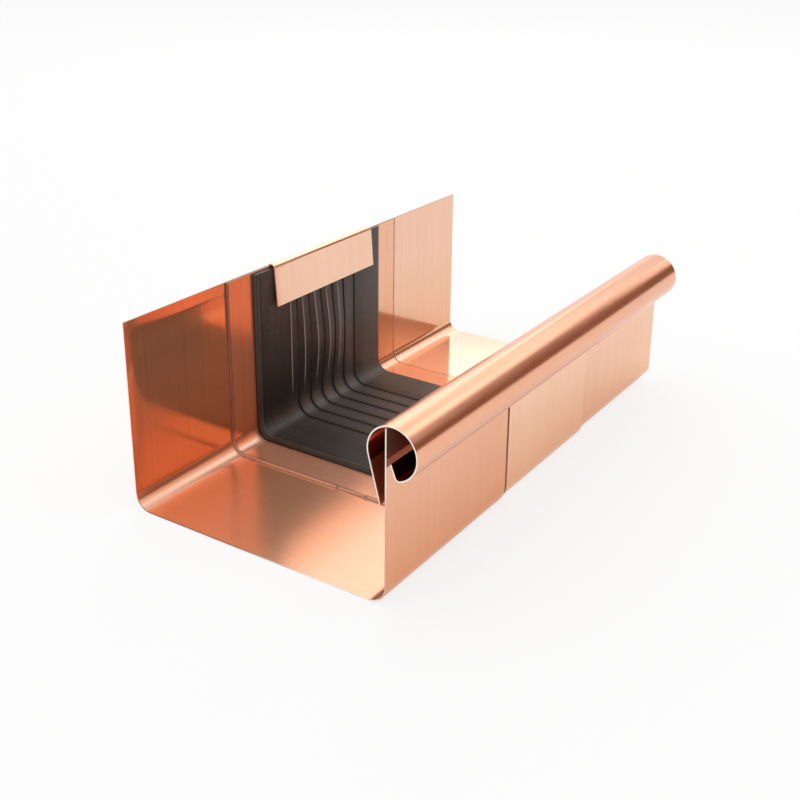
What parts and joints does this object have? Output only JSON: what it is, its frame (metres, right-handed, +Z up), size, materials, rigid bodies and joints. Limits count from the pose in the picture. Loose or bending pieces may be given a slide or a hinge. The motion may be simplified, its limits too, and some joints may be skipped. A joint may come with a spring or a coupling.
{
  "type": "gutter expansion joint",
  "caption": "Box gutter expansion joint in bright copper sheet: two gutter ends that slide in each other, a ribbed rubber web bent round the channel, a top clip and a rolled bead cover.",
  "frame": {"origin": "middle of the bounding box's underside, on the plane of the near gutter's floor", "axes": "+X along the gutter towards the sliding end, +Y from the bead towards the high back wall, +Z up"},
  "size_m": [0.3, 0.1675, 0.1017],
  "materials": {
    "copper": "bright new copper sheet, brushed",
    "rubber": "matt black"
  },
  "bodies": {
    "near_side": {"near_gutter": "copper", "slide_sheet": "copper", "near_strip": "copper", "bead_cover": "copper", "rubber_web": "rubber"},
    "far_side": {"far_gutter": "copper", "far_strip": "copper"}
  },
  "joints": [
    {"name": "expansion", "type": "slide", "parent": "near_side", "child": "far_side", "axis": [1, 0, 0], "range_m": [-0.01, 0.01], "stiffness_N_per_m": 4000, "deforming": ["rubber_web"]}
  ]
}
